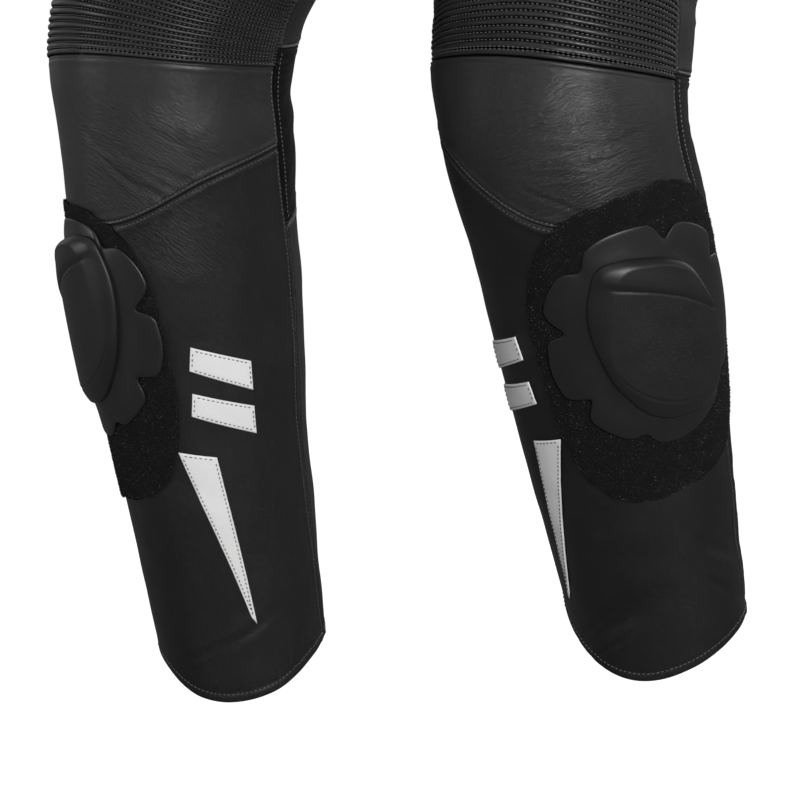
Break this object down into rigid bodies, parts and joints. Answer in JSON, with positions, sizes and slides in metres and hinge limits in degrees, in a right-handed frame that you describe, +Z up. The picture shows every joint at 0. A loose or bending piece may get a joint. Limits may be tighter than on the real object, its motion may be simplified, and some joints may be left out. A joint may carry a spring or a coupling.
{
  "type": "motorcycle race suit",
  "caption": "Hollow one-piece leather riding suit with bent knees, ribbed knee panels, knee sliders on loop patches, front zip, stand collar and cuffs.",
  "frame": {"origin": "between the shoulders, where the wearer carries the suit", "axes": "+Z up the wearer, -Y the way the wearer faces, +X to the wearer's left"},
  "size_m": [0.8616, 0.3172, 1.4019],
  "materials": {
    "leather": "semi-matt grain",
    "leather_rib": "soft padded grain",
    "stretch": "stretch weave",
    "loop": "looped pile",
    "white_leather": "smooth",
    "slider": "satin",
    "tape": "woven tape",
    "metal": "satin"
  },
  "bodies": {
    "suit": {"back": "leather", "calf_l": "leather", "calf_r": "leather", "collar": "leather", "cuff_l": "leather", "cuff_r": "leather", "front_l": "leather", "front_r": "leather", "knee_accordion_l": "leather_rib", "knee_accordion_r": "leather_rib", "knee_back_l": "stretch", "knee_back_r": "stretch", "knee_front_l": "leather", "knee_front_r": "leather", "shin_front_l": "leather", "shin_front_r": "leather", "sleeve_outer_l": "leather", "sleeve_outer_r": "leather", "sleeve_under_l": "leather", "sleeve_under_r": "leather", "slider_base_l": "slider", "slider_base_r": "slider", "slider_patch_l": "loop", "slider_patch_r": "loop", "slider_puck_l": "slider", "slider_puck_r": "slider", "stripe_high_l": "white_leather", "stripe_high_r": "white_leather", "stripe_long_l": "white_leather", "stripe_long_r": "white_leather", "stripe_low_l": "white_leather", "stripe_low_r": "white_leather", "thigh_back_l": "leather", "thigh_back_r": "leather", "thigh_front_l": "leather", "thigh_front_r": "leather", "zip_slider": "metal", "zip_tape": "tape"},
    "pull": {"zip_pull": "metal"}
  },
  "joints": [
    {"name": "pull_hinge", "type": "hinge", "parent": "suit", "child": "pull", "pos_m": [0, -0.09255, -0.03561], "axis": [-1, 0, 0], "range_deg": [0, 150]}
  ]
}
